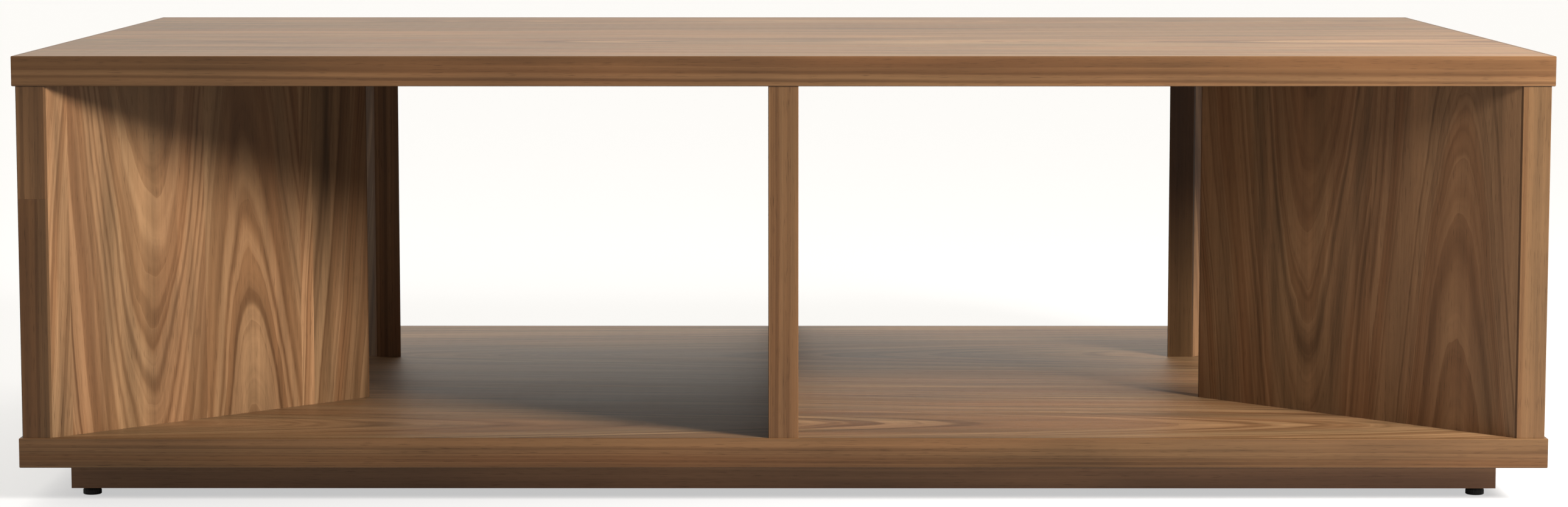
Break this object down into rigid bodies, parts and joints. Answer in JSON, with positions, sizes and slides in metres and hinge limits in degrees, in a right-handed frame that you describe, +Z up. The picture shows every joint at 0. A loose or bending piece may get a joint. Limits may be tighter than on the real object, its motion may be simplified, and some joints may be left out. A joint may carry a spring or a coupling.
{
  "type": "open storage unit",
  "caption": "Low, wide walnut storage unit: a thick top and base slab joined by diagonal corner wings and a central divider, open on every side, on a recessed plinth with levelling feet.",
  "frame": {"origin": "on the floor, in the middle of the footprint", "axes": "+X to the right along the long front, +Y to the back, +Z up; the front faces -Y"},
  "size_m": [1.372, 0.814, 0.4025],
  "materials": {
    "walnut_veneer": "walnut veneer, satin lacquer",
    "walnut_lipping": "solid walnut strip, satin lacquer",
    "stained_plinth": "dark stained, satin lacquer",
    "pale_wood": "bare beech",
    "zinc_plated_steel": "zinc plated",
    "black_plastic": "moulded, fine texture"
  },
  "bodies": {
    "case": {"top_panel": "walnut_veneer", "top_lipping_front": "walnut_lipping", "top_lipping_rear": "walnut_lipping", "top_lipping_left": "walnut_lipping", "top_lipping_right": "walnut_lipping", "bottom_panel": "walnut_veneer", "bottom_lipping_front": "walnut_lipping", "bottom_lipping_rear": "walnut_lipping", "bottom_lipping_left": "walnut_lipping", "bottom_lipping_right": "walnut_lipping", "wing_front_left": "walnut_veneer", "wing_front_right": "walnut_veneer", "wing_rear_left": "walnut_veneer", "wing_rear_right": "walnut_veneer", "center_divider": "walnut_veneer", "plinth_rail_front": "stained_plinth", "plinth_rail_rear": "stained_plinth", "plinth_rail_left": "stained_plinth", "plinth_rail_right": "stained_plinth", "plinth_cross_rail": "stained_plinth", "glue_block_front_left": "pale_wood", "glue_block_front_right": "pale_wood", "glue_block_rear_left": "pale_wood", "glue_block_rear_right": "pale_wood", "dowel_front_left_outer": "pale_wood", "dowel_front_left_inner": "pale_wood", "dowel_front_right_outer": "pale_wood", "dowel_front_right_inner": "pale_wood", "dowel_rear_left_outer": "pale_wood", "dowel_rear_left_inner": "pale_wood", "dowel_rear_right_outer": "pale_wood", "dowel_rear_right_inner": "pale_wood", "dowel_divider_front": "pale_wood", "dowel_divider_rear": "pale_wood", "case_screw_front_left_outer": "zinc_plated_steel", "case_screw_front_left_inner": "zinc_plated_steel", "case_screw_front_right_outer": "zinc_plated_steel", "case_screw_front_right_inner": "zinc_plated_steel", "case_screw_rear_left_outer": "zinc_plated_steel", "case_screw_rear_left_inner": "zinc_plated_steel", "case_screw_rear_right_outer": "zinc_plated_steel", "case_screw_rear_right_inner": "zinc_plated_steel", "case_screw_divider_front": "zinc_plated_steel", "case_screw_divider_rear": "zinc_plated_steel", "plinth_screw_front_left": "zinc_plated_steel", "plinth_screw_front_right": "zinc_plated_steel", "plinth_screw_rear_left": "zinc_plated_steel", "plinth_screw_rear_right": "zinc_plated_steel", "foot_insert_front_left": "zinc_plated_steel", "foot_insert_front_right": "zinc_plated_steel", "foot_insert_rear_left": "zinc_plated_steel", "foot_insert_rear_right": "zinc_plated_steel"},
    "foot_front_left": {"foot_pad_front_left": "black_plastic"},
    "stud_front_left": {"foot_stud_front_left": "zinc_plated_steel"},
    "foot_front_right": {"foot_pad_front_right": "black_plastic"},
    "stud_front_right": {"foot_stud_front_right": "zinc_plated_steel"},
    "foot_rear_left": {"foot_pad_rear_left": "black_plastic"},
    "stud_rear_left": {"foot_stud_rear_left": "zinc_plated_steel"},
    "foot_rear_right": {"foot_pad_rear_right": "black_plastic"},
    "stud_rear_right": {"foot_stud_rear_right": "zinc_plated_steel"}
  },
  "joints": [
    {"name": "foot_extend_front_left", "type": "slide", "parent": "case", "child": "foot_front_left", "axis": [0, 0, -1], "range_m": [0, 0.008]},
    {"name": "stud_turn_front_left", "type": "hinge", "parent": "foot_front_left", "child": "stud_front_left", "pos_m": [-0.631, -0.352, 0], "axis": [0, 0, -1], "range_deg": [0, 2881]},
    {"name": "foot_extend_front_right", "type": "slide", "parent": "case", "child": "foot_front_right", "axis": [0, 0, -1], "range_m": [0, 0.008]},
    {"name": "stud_turn_front_right", "type": "hinge", "parent": "foot_front_right", "child": "stud_front_right", "pos_m": [0.631, -0.352, 0], "axis": [0, 0, -1], "range_deg": [0, 2881]},
    {"name": "foot_extend_rear_left", "type": "slide", "parent": "case", "child": "foot_rear_left", "axis": [0, 0, -1], "range_m": [0, 0.008]},
    {"name": "stud_turn_rear_left", "type": "hinge", "parent": "foot_rear_left", "child": "stud_rear_left", "pos_m": [-0.631, 0.352, 0], "axis": [0, 0, -1], "range_deg": [0, 2881]},
    {"name": "foot_extend_rear_right", "type": "slide", "parent": "case", "child": "foot_rear_right", "axis": [0, 0, -1], "range_m": [0, 0.008]},
    {"name": "stud_turn_rear_right", "type": "hinge", "parent": "foot_rear_right", "child": "stud_rear_right", "pos_m": [0.631, 0.352, 0], "axis": [0, 0, -1], "range_deg": [0, 2881]}
  ],
  "couplings": [
    {"joint": "stud_turn_front_left", "follows": "foot_extend_front_left", "rad_per_m": 6283.2},
    {"joint": "stud_turn_front_right", "follows": "foot_extend_front_right", "rad_per_m": 6283.2},
    {"joint": "stud_turn_rear_left", "follows": "foot_extend_rear_left", "rad_per_m": 6283.2},
    {"joint": "stud_turn_rear_right", "follows": "foot_extend_rear_right", "rad_per_m": 6283.2}
  ]
}
